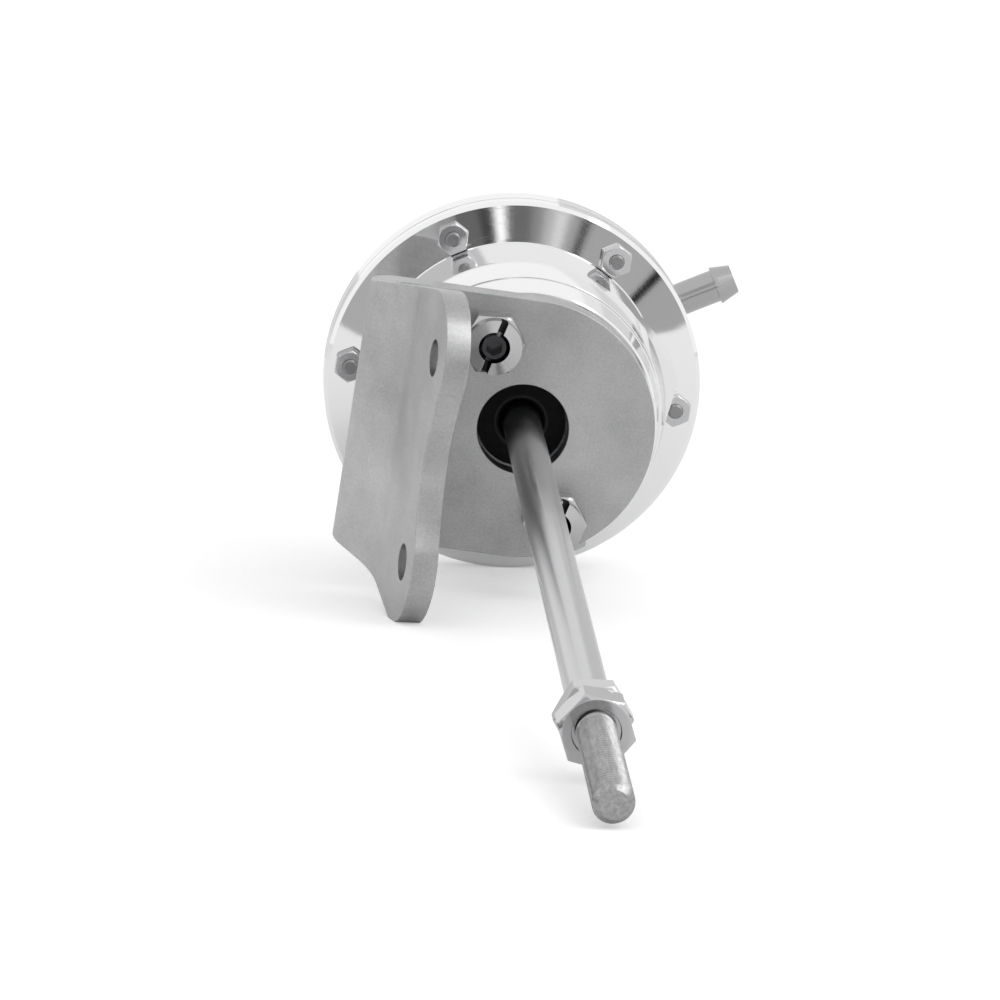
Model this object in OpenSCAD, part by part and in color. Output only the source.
// Diaphragm actuator for a turbocharger wastegate.
// Every piece is drawn along +Z, from the flat rear face of the case at z = 0 to the tip of the rod.
// forward() then lays it down: the rod points along -Y, X is to the right and Z is up.

/* [Case] */
// Distance from the circle of the case screws to the edge of the flanges
flange_edge = 3.95; // [3:0.05:6]
// Chamfer on the edges of the flanges
flange_chamfer = 0.5; // [0.2:0.1:0.8]
// Height of the rear cover, from its flat face to the diaphragm
cover_h = 16.5; // [15.5:0.5:20]
// Thickness of the rear cover's wall
cover_wall_t = 2.9; // [2.5:0.1:3]
// Thickness of the rear cover's floor
cover_floor = 3; // [2:0.1:3.2]
// Thickness of the rear cover's flange
cover_flange_t = 4.5; // [3.5:0.1:5]
// Distance that the pressure chamber is wider than the bore, on each side
chamber_step = 0.6; // [0.5:0.1:1]
// Distance from the front flange's face back to the turned line on the rim
rim_line_back = 5.4; // [4.5:0.1:6]
// Thickness of the front housing's flange
front_flange_t = 2.7; // [2.2:0.1:4]
// Thickness of the front housing's wall
wall_t = 3.4; // [3:0.1:3.8]
// Length of the straight wall in front of the flange
wall_h = 14; // [10:0.5:18]
// Distance that the wall draws in towards its front edge
wall_draw_in = 1.15; // [0.5:0.05:1.5]
// Length of the tapered end of the wall
wall_taper_l = 6.4; // [5:0.1:8]
// Width of the ledge between the wall and the nose
ledge_w = 1.25; // [0.8:0.05:1.6]
// Length of the nose that carries the bracket
nose_l = 5.2; // [4.6:0.1:8]
// Thickness of the front wall
front_wall_t = 4; // [3.5:0.1:4.5]
// Direction of the lobe on the wall, counted from +X
lobe_angle = 19; // [17:1:25]
// Distance that the lobe stands out of the wall
lobe_rise = 2.1; // [1:0.1:2.5]
// Diameter of the vent hole in the lobe
vent_d = 2.2; // [1.6:0.1:2.4]
// Distance from the flange's face to the vent hole
vent_ahead = 5; // [4:0.1:9]

/* [Case screws] */
// Gap between the case nuts and the wall
case_nut_gap = 0.55; // [0.4:0.05:1.5]
// Diameter of the case screws
screw_d = 2.5; // [2:0.1:2.6]
// Diameter of the screw heads
screw_head_d = 4.5; // [3.8:0.1:4.6]
// Height of the screw heads
screw_head_h = 2.5; // [2:0.1:3]
// Hex key that fits the screw heads
screw_key = 2; // [1.5:0.1:2.5]
// Distance that the screws stand out of their nuts
screw_end = 0.6; // [0.4:0.1:3]
// Width across the flats of the case nuts
case_nut_af = 4.8; // [4.4:0.1:5.5]
// Thickness of the case nuts
case_nut_t = 2; // [1.6:0.1:2.1]

/* [Diaphragm and piston] */
// Thickness of the diaphragm
diaphragm_t = 0.8; // [0.6:0.1:1]
// Distance that the diaphragm's edge lies inside the rim of the flanges
edge_inset = 0.4; // [0.2:0.1:0.8]
// Distance from the piston's rear face to the centre of the rolling fold
fold_ahead = 14.5; // [12:0.5:17]
// Width of the gap round the piston, in which the diaphragm folds
fold_w = 4; // [3.6:0.1:5]
// Diameter of the piston
piston_d = 34; // [30:0.5:40]
// Height of the piston's cup
piston_h = 20; // [18:0.5:20.5]
// Thickness of the piston's base
piston_base_t = 2.5; // [2:0.1:3]
// Thickness of the piston's skirt
skirt_t = 2; // [1.4:0.1:2.1]
// Distance from the edge of the clamp plate to the piston's edge
clamp_inset = 1.5; // [1.3:0.1:4]
// Thickness of the clamp plate
clamp_t = 1.5; // [1:0.1:2]
// Width across the flats of the piston's nut
piston_nut_af = 8; // [8:0.5:10]
// Thickness of the piston's nut
piston_nut_t = 3; // [2.5:0.1:3.4]

/* [Spring] */
// Diameter of the spring's wire
wire_d = 2.2; // [1.6:0.1:2.4]
// Radial gap between the spring and the piston's skirt
spring_gap = 0.5; // [0.2:0.1:0.8]
// Number of turns, the closed end turns included
spring_turns = 6; // [5:0.5:7]
// Thickness of the spring's seat ring
seat_t = 1; // [0.6:0.1:1.2]
// Distance that the seat ring is wider than the spring, on each side
seat_margin = 1.5; // [0.5:0.1:3]

/* [Rod and bush] */
// Diameter of the rod
rod_d = 6.2; // [5.8:0.05:7]
// Distance from the front of the bracket plate to the tip of the rod
rod_reach = 201; // [150:1:260]
// Distance from the rod's surface down to the thread's crests
thread_step = 0.2; // [0.15:0.01:0.3]
// Distance from the thread's crests down to its pitch line, where the nuts hold
pitch_step = 0.22; // [0.15:0.01:0.3]
// Length of the thread that shows behind the rod's two nuts
thread_behind = 1.6; // [0.5:0.1:6]
// Chamfer on the tip of the rod
tip_chamfer = 0.8; // [0.3:0.1:1.2]
// Distance that the rod steps down to the spigot that holds the piston
spigot_step = 0.6; // [0.3:0.1:1]
// Distance from the rod's tip back to the front of its lock nut
nut_setback = 32; // [20:1:32]
// Width across the flats of the rod's two nuts
rod_nut_af = 9.6; // [9:0.1:11]
// Thickness of the rod's lock nut
lock_nut_t = 5.4; // [4.5:0.1:6]
// Thickness of the jam nut behind it
jam_nut_t = 4; // [3:0.1:4.4]
// Thickness of the bush's wall at its mouth
bush_wall_t = 3.1; // [2.4:0.1:3.4]
// Length of the bush
bush_l = 7.4; // [6:0.1:8]
// Depth of the bush's face below the nose
bush_recess = 1.2; // [0.6:0.1:1.6]
// Radial gap round the rod at the bush's mouth
bush_mouth_gap = 1; // [0.7:0.1:1.4]
// Thickness of the boss round the bush, inside the case
boss_wall_t = 2.8; // [2:0.1:3]

/* [Bracket] */
// Thickness of the bracket
sheet_t = 4; // [3:0.1:4.5]
// Distance from the nose's edge in to the plate's round edge
plate_inset = 0.6; // [0.3:0.1:1.5]
// Radial gap between the bush and the hole in the plate
plate_hole_gap = 0.2; // [0.1:0.05:0.8]
// Distance from the plate's round edge out to the outside of the bend
leg_out = 6.6; // [6:0.1:12]
// Inside radius of the bend
bend_r = 1; // [0.5:0.1:2]
// Lean of the first leg, from the rod's direction towards the rod
first_lean = 34; // [25:1:40]
// Lean of the second leg
second_lean = 9.5; // [5:0.5:15]
// Distance from the plate's front to the soft bend between the legs
crease_ahead = 12; // [10:0.5:16]
// Radius of the soft bend, on the outside of the bracket
crease_r = 18; // [5:1:24]
// Distance from the plate's front to the two mounting holes
holes_ahead = 30.5; // [27:0.5:40]
// Distance between the centres of the mounting holes
hole_spacing = 33.2; // [30:0.2:40]
// Diameter of the mounting holes
hole_d = 5.8; // [5:0.1:7]
// Width of the lugs beside the mounting holes
lug_wall_t = 7.3; // [5.5:0.1:8]
// Distance from the lugs' centres forward to the holes
hole_shift = 2.6; // [0:0.1:3]
// Depth of the scooped edge between the lugs
waist_depth = 3.7; // [2:0.1:9]

/* [Bracket studs] */
// Distance from the plate's round edge in to the circle of the studs
stud_inset = 5.65; // [5:0.05:6.2]
// Direction of the upper stud, counted from +X
stud_angle = 117; // [110:1:130]
// Diameter of the studs
stud_d = 5; // [4:0.1:5.6]
// Depth of the studs' ends below the face of the collar
stud_recess = 0.5; // [0.1:0.1:1]
// Hex key that fits the studs
stud_key = 2.5; // [2:0.1:3]
// Width across the flats of the studs' nuts
stud_nut_af = 9.2; // [9:0.1:10]
// Height of the hexagon of the studs' nuts
stud_nut_t = 4; // [3.5:0.1:5]
// Diameter of the slotted collar on the nuts
collar_d = 9; // [7.5:0.1:9]
// Height of the slotted collar
collar_h = 2.2; // [1.5:0.1:3]
// Width of the slots in the collar
collar_slot = 1.1; // [0.8:0.1:1.4]

/* [Hose nipple] */
// Direction of the nipple, counted from +X
nipple_angle = 30; // [20:1:40]
// Distance from the back of the rear flange to the nipple's axis
nipple_drop = 6; // [5.5:0.1:7]
// Diameter of the nipple's shaft
nipple_d = 5.5; // [5:0.1:6]
// Diameter of the barb
barb_d = 6.5; // [6.2:0.1:7]
// Distance from the rim of the flanges out to the barb's shoulder
barb_out = 6.2; // [4:0.1:12]
// Length of the barb
barb_l = 3.3; // [2.6:0.1:4]
// Diameter of the barb's tip
barb_tip_d = 4.8; // [4.2:0.1:5]
// Diameter of the air passage
air_d = 2.6; // [2:0.1:3]
// Diameter of the nipple's end in the cover's wall
nipple_plug_d = 4.4; // [4:0.1:4.8]
// Width across the flats of the nipple's hexagon
nipple_af = 7; // [6.5:0.1:7.4]
// Height of the nipple's hexagon
nipple_hex_h = 3; // [2:0.1:4]
// Thickness of the seal ring under the hexagon
seal_t = 0.8; // [0.5:0.1:1.2]
// Width of the seal ring
seal_w = 1.2; // [0.8:0.1:1.3]
// Depth of the flat that the seal lies on, below the cover's side
spot_depth = 0.3; // [0.3:0.05:0.5]

/* [Clearances] */
// Radial running clearance of the rod in its bush
running_gap = 0.05; // [0.02:0.01:0.08]
// Gap between pieces that are fastened together
seat_gap = 0.02; // [0.01:0.01:0.04]
// Gap between the moving pieces and the soft pieces that follow them
soft_gap = 0.1; // [0.05:0.05:0.15]
// Radial clearance of the screws and studs in plain holes
hole_gap = 0.15; // [0.1:0.05:0.2]
// Gap between the rod's rear end and the cover's floor
rest_gap = 0.3; // [0.2:0.1:0.5]

/* [Hidden] */
$fn = 72;
screw_count = 6;
cut_over = 1;
small_chamfer = 0.3;
// Diameters that follow from the piston outwards
bore_d = piston_d + 2 * fold_w;
chamber_d = bore_d + 2 * chamber_step;
cover_d = chamber_d + 2 * cover_wall_t;
wall_d = bore_d + 2 * wall_t;
shoulder_d = wall_d - 2 * wall_draw_in;
nose_d = shoulder_d - 2 * ledge_w;
screw_circle_d = wall_d + case_nut_af + 2 * case_nut_gap;
flange_d = screw_circle_d + 2 * flange_edge;
plate_d = nose_d - 2 * plate_inset;
stud_circle_d = plate_d - 2 * stud_inset;
clamp_d = piston_d - 2 * clamp_inset;
spring_d = piston_d - 2 * (skirt_t + spring_gap);
seat_d = spring_d + 2 * seat_margin;
// Diameters that follow from the rod outwards
rod_thread_d = rod_d - 2 * thread_step;
rod_nut_hole_d = rod_thread_d - 2 * pitch_step;
spigot_d = rod_d - 2 * spigot_step;
bush_mouth_d = rod_d + 2 * bush_mouth_gap;
bush_d = bush_mouth_d + 2 * bush_wall_t;
boss_d = bush_d + 2 * boss_wall_t;
plate_hole_d = bush_d + 2 * plate_hole_gap;
// Stations along the rod's axis
joint_z = cover_h + diaphragm_t;
flange_z = joint_z + front_flange_t;
wall_z = flange_z + wall_h;
shoulder_z = wall_z + wall_taper_l;
nose_z = shoulder_z + nose_l;
inner_wall_z = nose_z - front_wall_t;
plate_z = nose_z + sheet_t;
tip_z = plate_z + rod_reach;
cover_flange_z = cover_h - cover_flange_t;
rod_end_z = cover_floor + rest_gap;
rod_end_proud = 0.6;
piston_nut_z = rod_end_z + rod_end_proud;
clamp_z = piston_nut_z + piston_nut_t;
clamp_top_z = clamp_z + clamp_t;
piston_z = clamp_top_z + diaphragm_t + 2 * soft_gap;
piston_base_z = piston_z + piston_base_t;
seat_z = inner_wall_z - seat_t;
bush_face_z = nose_z - bush_recess;
bush_z = bush_face_z - bush_l;
boss_lip = 1;
boss_z = bush_z - boss_lip;
lock_nut_z = tip_z - nut_setback - lock_nut_t;
jam_nut_z = lock_nut_z - jam_nut_t;
nipple_z = cover_flange_z - nipple_drop;
// The diaphragm's middle line, as three arcs joined by straight stretches
half_t = diaphragm_t / 2;
clamp_bend = 1.3;
edge_bend = 1;
fold_in_r = piston_d / 2 + soft_gap + half_t;
fold_out_r = bore_d / 2 - soft_gap - half_t;
fold_r = (fold_out_r - fold_in_r) / 2;
web_z = clamp_top_z + soft_gap + half_t;
// The bent bracket, in the plane of X and the rod's axis
bend_out_r = bend_r + sheet_t;
bend_reach = plate_d / 2 + leg_out;
bend_x = -bend_reach + bend_out_r;
bend_z = nose_z + bend_out_r;
crease_x = bend_x - bend_out_r * cos(first_lean)
    + (plate_z + crease_ahead - bend_z - bend_out_r * sin(first_lean)) * tan(first_lean);
crease_z = plate_z + crease_ahead;
hole_s = (holes_ahead - crease_ahead) / cos(second_lean);
lug_s = hole_s - hole_shift;
lug_y = hole_spacing / 2;
lug_r = hole_d / 2 + lug_wall_t;
leg_end_s = lug_s + lug_r;
first_leg_s = (crease_z - bend_z) / cos(second_lean);
// The nipple's seat
spot_r = cover_d / 2 - spot_depth;
nipple_seat_r = spot_r + seal_t;
seal_d = nipple_plug_d + 2 * seal_w;
barb_at = flange_d / 2 + barb_out;

function arc(centre, r, from, to, steps = 8) =
    [for (i = [0:steps]) let (a = from + (to - from) * i / steps) centre + r * [cos(a), sin(a)]];
function backwards(points) = [for (i = [len(points) - 1:-1:0]) points[i]];
function on_circle(d, angle) = d / 2 * [cos(angle), sin(angle)];

// Lays a piece that is drawn along +Z down along -Y
module forward() {
    rotate([90, 0, 0]) children();
}

// A ring turned from two radii, between two stations
module ring(outer_d, inner_d, z, h) {
    translate([0, 0, z]) difference() {
        cylinder(d = outer_d, h = h);
        translate([0, 0, -cut_over]) cylinder(d = inner_d, h = h + 2 * cut_over);
    }
}

// A hexagon with its corners turned off at the ends that are chamfered
module hexagon(af, h, chamfer_bottom = true, chamfer_top = true) {
    corner_r = af / 2 / cos(30);
    cut = corner_r - af / 2 * 0.97;
    slope = cut * tan(30);
    intersection() {
        rotate([0, 0, 30]) cylinder(r = corner_r, h = h, $fn = 6);
        rotate_extrude() polygon([
            [0, 0],
            [chamfer_bottom ? corner_r - cut : corner_r, 0],
            [corner_r, chamfer_bottom ? slope : 0],
            [corner_r, chamfer_top ? h - slope : h],
            [chamfer_top ? corner_r - cut : corner_r, h],
            [0, h]]);
    }
}

module hex_nut(af, h, hole, countersunk = false) {
    sink_r = rod_d / 2 + small_chamfer;
    sink_h = 2 * small_chamfer;
    difference() {
        hexagon(af, h);
        translate([0, 0, -cut_over]) cylinder(d = hole, h = h + 2 * cut_over);
        if (countersunk)
            translate([0, 0, h - sink_h]) cylinder(r = sink_r, h = sink_h + cut_over);
    }
}

// Puts a child on each case screw's axis, or on one of them
module at_screw(i) {
    angle = 360 / screw_count * (i - 1);
    rotate([0, 0, angle]) translate([screw_circle_d / 2, 0, 0]) children();
}

module screw_holes(z, h) {
    for (i = [1:screw_count])
        at_screw(i) translate([0, 0, z - cut_over])
            cylinder(d = screw_d + 2 * hole_gap, h = h + 2 * cut_over, $fn = 24);
}

// Turned cup behind the diaphragm, with the pressure chamber and the nipple's flat
module rear_cover() {
    rim_r = flange_d / 2;
    line_z = flange_z - rim_line_back;
    line_w = 0.2;
    line_depth = 0.25;
    rear_chamfer = 1.5;
    color("silver") forward() difference() {
        rotate_extrude() polygon([
            [0, 0],
            [cover_d / 2 - rear_chamfer, 0],
            [cover_d / 2, rear_chamfer],
            [cover_d / 2, cover_flange_z],
            [rim_r - flange_chamfer, cover_flange_z],
            [rim_r, cover_flange_z + flange_chamfer],
            [rim_r, line_z - line_w],
            [rim_r - line_depth, line_z],
            [rim_r, line_z + line_w],
            [rim_r, cover_h],
            [chamber_d / 2, cover_h],
            [chamber_d / 2, cover_floor + 1],
            [chamber_d / 2 - 1, cover_floor],
            [0, cover_floor]]);
        screw_holes(cover_flange_z, cover_flange_t);
        along_nipple() {
            cylinder(d = nipple_plug_d + 2 * seat_gap, h = cover_d);
            translate([0, 0, spot_r]) cylinder(d = seal_d + 2 * small_chamfer, h = cover_d);
        }
    }
}

// Outline of the wall's lobe: two tangents of the wall, cut off by a flat face
module lobe_outline() {
    half_angle = 26;
    wall_r = wall_d / 2;
    lobe_reach = wall_r + lobe_rise;
    face_half_w = (wall_r - lobe_reach * cos(half_angle)) / sin(half_angle);
    rotate(lobe_angle) difference() {
        polygon([
            [0, 0],
            wall_r * [cos(half_angle), -sin(half_angle)],
            [lobe_reach, -face_half_w],
            [lobe_reach, face_half_w],
            wall_r * [cos(half_angle), sin(half_angle)]]);
        circle(d = (wall_d + bore_d) / 2);
    }
}

// Turned housing in front of the diaphragm: flange, wall, nose, and the boss for the bush
module front_housing() {
    lead = 0.8;
    inner_nose_r = bore_d / 2 - 1.5;
    inner_taper = 3.6;
    bore_chamfer = 0.6;
    lip_step = 0.6;
    lip_hole_r = bush_mouth_d / 2 + lip_step;
    color("silver") forward() difference() {
        union() {
            rotate_extrude() polygon([
                [bore_d / 2 + lead, joint_z],
                [flange_d / 2, joint_z],
                [flange_d / 2, flange_z - flange_chamfer],
                [flange_d / 2 - flange_chamfer, flange_z],
                [wall_d / 2, flange_z],
                [wall_d / 2, wall_z],
                [shoulder_d / 2, shoulder_z],
                [nose_d / 2, shoulder_z],
                [nose_d / 2, nose_z - small_chamfer],
                [nose_d / 2 - small_chamfer, nose_z],
                [bush_d / 2 + bore_chamfer, nose_z],
                [bush_d / 2, nose_z - bore_chamfer],
                [bush_d / 2, bush_z],
                [lip_hole_r, bush_z],
                [lip_hole_r, boss_z],
                [boss_d / 2, boss_z],
                [boss_d / 2, inner_wall_z],
                [inner_nose_r, inner_wall_z],
                [bore_d / 2, inner_wall_z - inner_taper],
                [bore_d / 2, joint_z + lead]]);
            translate([0, 0, flange_z - small_chamfer])
                linear_extrude(wall_h + small_chamfer) lobe_outline();
        }
        screw_holes(joint_z, front_flange_t);
        translate([0, 0, flange_z + vent_ahead]) rotate([0, 0, lobe_angle]) rotate([0, 90, 0])
            cylinder(d = vent_d, h = wall_d);
        for (turn = [0, 180])
            translate(concat(on_circle(stud_circle_d, stud_angle + turn), inner_wall_z - cut_over))
                cylinder(d = stud_d + 2 * seat_gap, h = front_wall_t + 2 * cut_over);
    }
}

// Rolling diaphragm: clamped on the piston, folded along its skirt, held between the flanges
module diaphragm() {
    clamp_bend_at = [fold_in_r - clamp_bend, web_z + clamp_bend];
    fold_at = [fold_in_r + fold_r, piston_z + fold_ahead];
    edge_bend_at = [fold_out_r + edge_bend, cover_h + half_t + edge_bend];
    hole_r = spigot_d / 2 + soft_gap;
    edge_r = flange_d / 2 - edge_inset;
    side = function (offset) concat(
        [[hole_r, web_z + offset]],
        arc(clamp_bend_at, clamp_bend - offset, -90, 0),
        arc(fold_at, fold_r + offset, 180, 0, 14),
        arc(edge_bend_at, edge_bend - offset, 180, 270),
        [[edge_r, cover_h + half_t + offset]]);
    color("dimgray") forward() difference() {
        rotate_extrude() polygon(concat(side(half_t), backwards(side(-half_t))));
        screw_holes(cover_h, diaphragm_t);
    }
}

module diaphragm_clamp() {
    color("lightgray") forward()
        ring(clamp_d, spigot_d + 2 * seat_gap, clamp_z, clamp_t);
}

// Cup that the spring stands in
module piston() {
    corner = 0.8;
    inner_r = piston_d / 2 - skirt_t;
    color("gainsboro") forward() rotate_extrude() polygon([
        [spigot_d / 2 + seat_gap, piston_z],
        [piston_d / 2 - corner, piston_z],
        [piston_d / 2, piston_z + corner],
        [piston_d / 2, piston_z + piston_h],
        [inner_r, piston_z + piston_h],
        [inner_r, piston_base_z],
        [spigot_d / 2 + seat_gap, piston_base_z]]);
}

module piston_nut() {
    color("silver") forward() translate([0, 0, piston_nut_z])
        hex_nut(piston_nut_af, piston_nut_t, spigot_d + 2 * seat_gap);
}

// Round wire swept along a helix whose end turns lie closed
module main_spring() {
    sides = 8;
    rings_per_turn = 20;
    rings = spring_turns * rings_per_turn;
    coil_r = (spring_d - wire_d) / 2;
    low = piston_base_z + soft_gap + wire_d / 2;
    high = seat_z - seat_gap - wire_d / 2;
    closed = wire_d * 1.04;
    open_pitch = (high - low - 2 * closed) / (spring_turns - 2);
    height = function (turn) turn < 1 ? low + closed * turn
        : turn > spring_turns - 1 ? high - closed * (spring_turns - turn)
        : low + closed + open_pitch * (turn - 1);
    points = [for (i = [0:rings], k = [0:sides - 1])
        let (turn = i / rings_per_turn, a = 360 * turn, b = 360 * k / sides)
        let (r = coil_r + wire_d / 2 * cos(b))
        [r * cos(a), r * sin(a), height(turn) + wire_d / 2 * sin(b)]];
    walls = [for (i = [0:rings - 1], k = [0:sides - 1])
        let (here = i * sides, next = (i + 1) * sides, up = (k + 1) % sides)
        [here + k, here + up, next + up, next + k]];
    first_end = [for (k = [sides - 1:-1:0]) k];
    last_end = [for (k = [0:sides - 1]) rings * sides + k];
    color("darkgray") forward() polyhedron(points, concat(walls, [first_end, last_end]));
}

module spring_seat() {
    color("lightgray") forward()
        ring(seat_d, boss_d + 2 * seat_gap, seat_z, seat_t);
}

// Plain bush with a lead-in at its mouth
module rod_bush() {
    bore_r = rod_d / 2 + running_gap;
    lead_depth = 0.8;
    color([0.09, 0.09, 0.1]) forward() rotate_extrude() polygon([
        [bore_r, bush_z],
        [bush_d / 2 - seat_gap, bush_z],
        [bush_d / 2 - seat_gap, bush_face_z],
        [bush_mouth_d / 2, bush_face_z],
        [bush_mouth_d / 2 - small_chamfer, bush_face_z - small_chamfer],
        [bush_mouth_d / 2 - 2 * small_chamfer, bush_face_z - lead_depth],
        [bore_r, bush_face_z - lead_depth - small_chamfer]]);
}

// Rod: spigot for the piston, plain shaft, thread for the clevis.
// The thread is plain: pitch line under the nuts, crests in front of them.
module actuator_rod() {
    thread_z = jam_nut_z - thread_behind;
    free_thread_z = tip_z - nut_setback + small_chamfer;
    color("lightsteelblue") forward() rotate_extrude() polygon([
        [0, rod_end_z],
        [spigot_d / 2 - small_chamfer, rod_end_z],
        [spigot_d / 2, rod_end_z + small_chamfer],
        [spigot_d / 2, piston_base_z],
        [rod_d / 2, piston_base_z],
        [rod_d / 2, thread_z],
        [rod_nut_hole_d / 2, thread_z],
        [rod_nut_hole_d / 2, free_thread_z],
        [rod_thread_d / 2, free_thread_z],
        [rod_thread_d / 2, tip_z - tip_chamfer],
        [rod_thread_d / 2 - tip_chamfer, tip_z],
        [0, tip_z]]);
}

module rod_lock_nut() {
    turn = 25;
    color("silver") forward() translate([0, 0, lock_nut_z]) rotate([0, 0, turn])
        hex_nut(rod_nut_af, lock_nut_t, rod_nut_hole_d + 2 * seat_gap, countersunk = true);
}

module rod_jam_nut() {
    turn = 38;
    color("silver") forward() translate([0, 0, jam_nut_z]) rotate([0, 0, turn])
        hex_nut(rod_nut_af, jam_nut_t, rod_nut_hole_d + 2 * seat_gap);
}

// Section through the bend and the two legs
module leg_section() {
    middle_lean = (first_lean + second_lean) / 2;
    half_turn = (first_lean - second_lean) / 2;
    bend = [bend_x, bend_z];
    crease = [crease_x, crease_z];
    crease_centre = crease + crease_r / cos(half_turn) * [-cos(middle_lean), sin(middle_lean)];
    leg_end = crease + leg_end_s * [sin(second_lean), cos(second_lean)];
    leg_end_in = leg_end + sheet_t * [cos(second_lean), -sin(second_lean)];
    polygon(concat(
        arc(bend, bend_out_r, 270, 180 - first_lean, 10),
        arc(crease_centre, crease_r, -first_lean, -second_lean),
        [leg_end, leg_end_in],
        arc(crease_centre, crease_r + sheet_t, -second_lean, -first_lean),
        backwards(arc(bend, bend_r, 270, 180 - first_lean, 10))));
}

// Outline of the legs, drawn along the second one from the crease: two lugs with a waist,
// and sides that widen from the bend to the lugs
module leg_outline() {
    half_h = plate_d / 2;
    bend_s = -first_leg_s;
    waist_back = waist_depth - lug_r;
    to_lug = [lug_s - bend_s, lug_y - half_h];
    reach = norm(to_lug);
    side_angle = atan2(to_lug[1], to_lug[0]) + asin(lug_r / reach);
    side_l = sqrt(reach * reach - lug_r * lug_r);
    touch = [bend_s + side_l * cos(side_angle), half_h + side_l * sin(side_angle)];
    back = 2 * bend_reach;
    waist_r = (lug_y * lug_y + waist_back * waist_back - lug_r * lug_r) / (2 * (lug_r + waist_back));
    waist_s = lug_s - waist_back + waist_r;
    toward_waist = [waist_s - lug_s, -lug_y] / norm([waist_s - lug_s, -lug_y]);
    meet = [lug_s, lug_y] + lug_r * toward_waist;
    difference() {
        union() {
            polygon([
                [-back, -half_h], [bend_s, -half_h], [touch[0], -touch[1]], [lug_s, -lug_y],
                [lug_s, lug_y], touch, [bend_s, half_h], [-back, half_h]]);
            translate([lug_s - lug_r, -meet[1]]) square([meet[0] - lug_s + lug_r, 2 * meet[1]]);
            for (s = [-1, 1])
                translate([lug_s, s * lug_y]) circle(r = lug_r);
        }
        translate([waist_s, 0]) circle(r = waist_r);
    }
}

// Turns a child so that its X runs along the second leg and its Z through the sheet
module on_second_leg() {
    translate([crease_x, 0, crease_z]) rotate([0, second_lean, 0])
        rotate([0, -90, 0]) children();
}

// Bent steel bracket: plate on the nose, bend, and the leg with the two mounting holes
module bracket() {
    span = 4 * plate_d;
    hole_reach = 3 * sheet_t;
    color([0.62, 0.62, 0.63]) forward() difference() {
        union() {
            translate([0, 0, nose_z]) linear_extrude(sheet_t) {
                circle(d = plate_d);
                translate([bend_x, -plate_d / 2]) square([-bend_x, plate_d]);
            }
            intersection() {
                translate([0, span / 2, 0]) rotate([90, 0, 0]) linear_extrude(span) leg_section();
                on_second_leg() translate([0, 0, -span / 2]) linear_extrude(span) leg_outline();
            }
        }
        translate([0, 0, nose_z - cut_over]) cylinder(d = plate_hole_d, h = sheet_t + 2 * cut_over);
        for (turn = [0, 180])
            translate(concat(on_circle(stud_circle_d, stud_angle + turn), nose_z - cut_over))
                cylinder(d = stud_d + 2 * hole_gap, h = sheet_t + 2 * cut_over);
        for (s = [-1, 1])
            on_second_leg() translate([hole_s, s * lug_y, -hole_reach])
                cylinder(d = hole_d, h = 2 * hole_reach);
    }
}

// Threaded stud with a hex socket in its end
module bracket_stud(turn) {
    socket_depth = 2.5;
    stud_z = inner_wall_z + small_chamfer;
    stud_l = plate_z + stud_nut_t + collar_h - stud_recess - stud_z;
    color([0.12, 0.12, 0.13]) forward()
        translate(concat(on_circle(stud_circle_d, stud_angle + turn), stud_z)) difference() {
            rotate_extrude() polygon([
                [0, 0],
                [stud_d / 2, 0],
                [stud_d / 2, stud_l - 2 * small_chamfer],
                [stud_d / 2 - 2 * small_chamfer, stud_l],
                [0, stud_l]]);
            translate([0, 0, stud_l - socket_depth])
                cylinder(d = stud_key / cos(30), h = socket_depth + cut_over, $fn = 6);
        }
}

// Hex nut with a round collar that has a slot across it
module bracket_nut(turn) {
    slot_turn = 76;
    hex_turn = 35;
    height = stud_nut_t + collar_h;
    color("silver") forward()
        translate(concat(on_circle(stud_circle_d, stud_angle + turn), plate_z)) difference() {
            union() {
                rotate([0, 0, hex_turn]) hexagon(stud_nut_af, stud_nut_t);
                cylinder(d = collar_d, h = height);
            }
            translate([0, 0, -cut_over])
                cylinder(d = stud_d + 2 * seat_gap, h = height + 2 * cut_over);
            rotate([0, 0, slot_turn]) translate([-collar_d, -collar_slot / 2, stud_nut_t])
                cube([2 * collar_d, collar_slot, collar_h + cut_over]);
        }
}

// Lays a child that is drawn along +Z along the nipple's axis, out from the rod's axis
module along_nipple() {
    translate([0, 0, nipple_z]) rotate([0, 0, nipple_angle]) rotate([0, 90, 0]) children();
}

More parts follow.
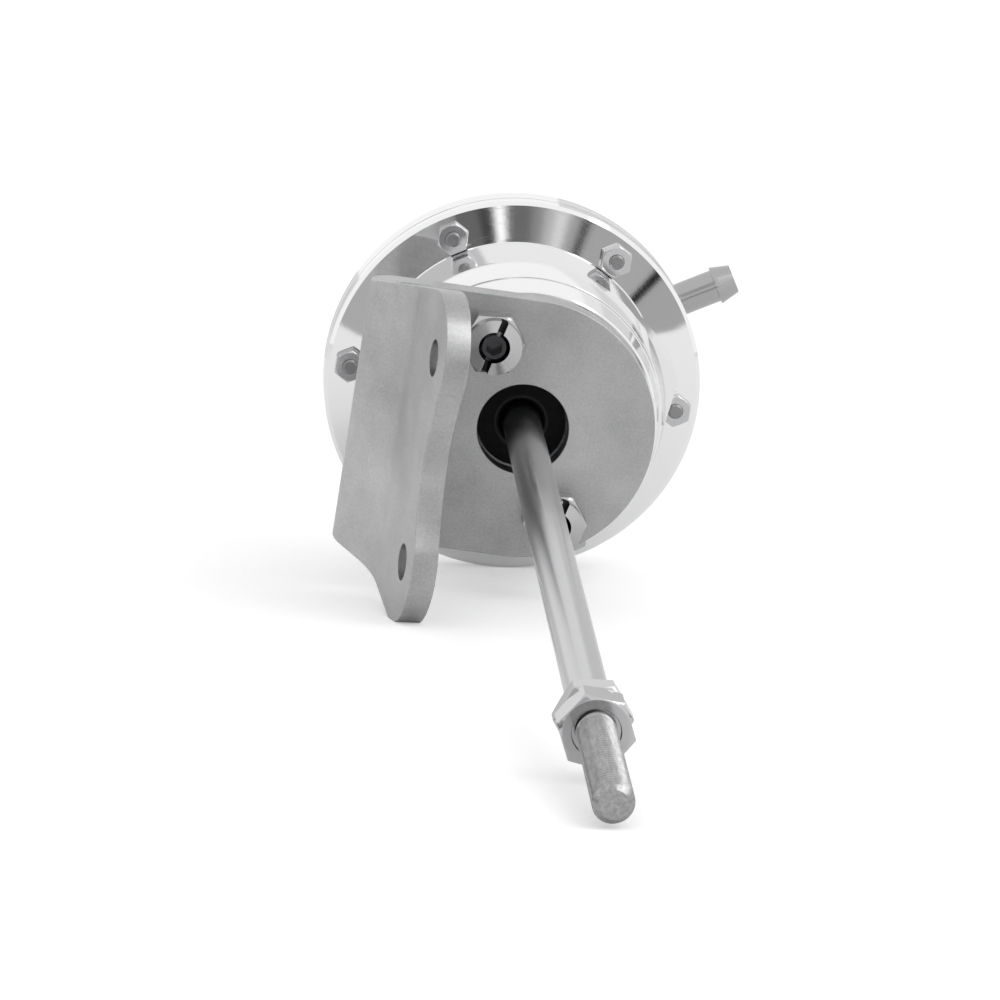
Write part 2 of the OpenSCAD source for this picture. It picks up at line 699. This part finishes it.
// Barbed nipple with a hexagon that seats on the seal ring
module hose_nipple() {
    plug_r = chamber_d / 2 + small_chamfer;
    color("silver") forward() along_nipple() difference() {
        union() {
            translate([0, 0, plug_r]) cylinder(d = nipple_plug_d, h = nipple_seat_r - plug_r + 1);
            translate([0, 0, nipple_seat_r]) hexagon(nipple_af, nipple_hex_h);
            translate([0, 0, nipple_seat_r]) cylinder(d = nipple_d, h = barb_at - nipple_seat_r);
            translate([0, 0, barb_at]) cylinder(d1 = barb_d, d2 = barb_tip_d, h = barb_l);
        }
        cylinder(d = air_d, h = barb_at + barb_l + cut_over);
    }
}

module nipple_seal() {
    color([0.1, 0.1, 0.1]) forward() along_nipple()
        ring(seal_d, nipple_plug_d + 2 * seat_gap, spot_r, seal_t);
}

// Socket-head screw from behind the rear flange
module case_screw(i) {
    socket_depth = 1.3;
    head_z = cover_flange_z - screw_head_h;
    end_z = flange_z + case_nut_t + screw_end;
    color("gainsboro") forward() at_screw(i) difference() {
        rotate_extrude($fn = 36) polygon([
            [0, head_z],
            [screw_head_d / 2 - small_chamfer, head_z],
            [screw_head_d / 2, head_z + small_chamfer],
            [screw_head_d / 2, cover_flange_z],
            [screw_d / 2, cover_flange_z],
            [screw_d / 2, end_z - small_chamfer],
            [screw_d / 2 - small_chamfer, end_z],
            [0, end_z]]);
        translate([0, 0, head_z - cut_over])
            cylinder(d = screw_key / cos(30), h = socket_depth + cut_over, $fn = 6);
    }
}

module case_nut(i) {
    color("silver") forward() at_screw(i) translate([0, 0, flange_z])
        hex_nut(case_nut_af, case_nut_t, screw_d + 2 * seat_gap);
}

rear_cover();
front_housing();
diaphragm();
diaphragm_clamp();
piston();
piston_nut();
main_spring();
spring_seat();
rod_bush();
actuator_rod();
rod_lock_nut();
rod_jam_nut();
bracket();
bracket_stud(0);  // bracket_stud_upper
bracket_stud(180);  // bracket_stud_lower
bracket_nut(0);  // bracket_nut_upper
bracket_nut(180);  // bracket_nut_lower
hose_nipple();
nipple_seal();
for (i = [1:screw_count]) {
    case_screw(i);
    case_nut(i);
}
